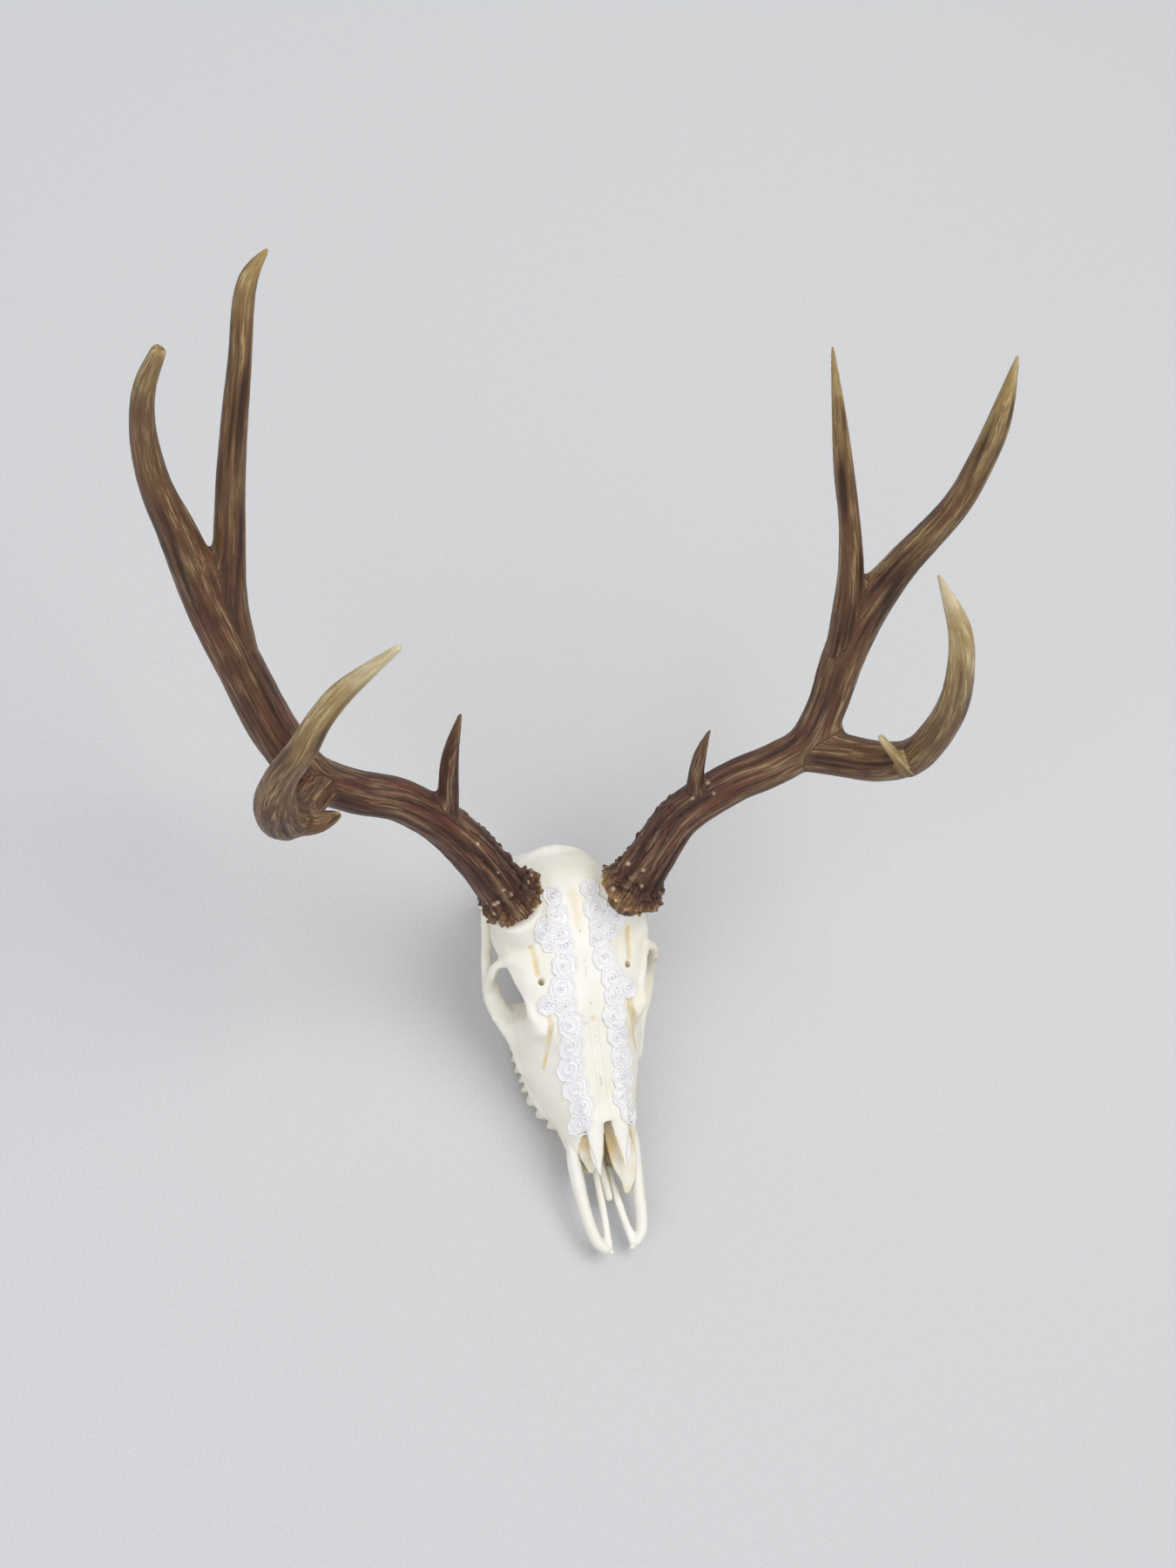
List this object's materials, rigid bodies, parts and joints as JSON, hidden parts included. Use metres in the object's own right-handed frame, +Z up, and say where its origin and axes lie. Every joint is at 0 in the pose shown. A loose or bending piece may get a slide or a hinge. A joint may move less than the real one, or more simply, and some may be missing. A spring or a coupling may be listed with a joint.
{
  "type": "deer skull",
  "caption": "Bleached deer skull with forked antlers and strips of beaded lace on forehead and nose, lying as it would rest.",
  "frame": {"origin": "on the floor, under the middle of the bounding box", "axes": "+Z up from the floor, -Y towards the tip of the nose, +X towards the animal's left"},
  "size_m": [0.511, 0.5056, 0.5267],
  "materials": {
    "bone": "matte, bleached",
    "antler": "ridged, satin on the ridges",
    "lace": "fine net and cord with glass beads"
  },
  "bodies": {
    "root": {"forehead": "bone", "face_core": "bone", "braincase": "bone", "vomer": "bone", "premaxilla_left": "bone", "premaxilla_right": "bone", "maxilla_left": "bone", "maxilla_right": "bone", "nasal_left": "bone", "nasal_right": "bone", "turbinate_left": "bone", "turbinate_right": "bone", "cheekbone_left": "bone", "cheekbone_right": "bone", "antler_left_burr": "antler", "antler_left_beam": "antler", "antler_left_brow_tine": "antler", "antler_left_rear_stem": "antler", "antler_left_rear_inner_tine": "antler", "antler_left_rear_outer_tine": "antler", "antler_left_front_beam": "antler", "antler_left_front_spur": "antler", "antler_right_burr": "antler", "antler_right_beam": "antler", "antler_right_brow_tine": "antler", "antler_right_rear_stem": "antler", "antler_right_rear_inner_tine": "antler", "antler_right_rear_outer_tine": "antler", "antler_right_front_beam": "antler", "antler_right_front_spur": "antler", "lace_left": "lace", "lace_right": "lace"}
  },
  "joints": []
}
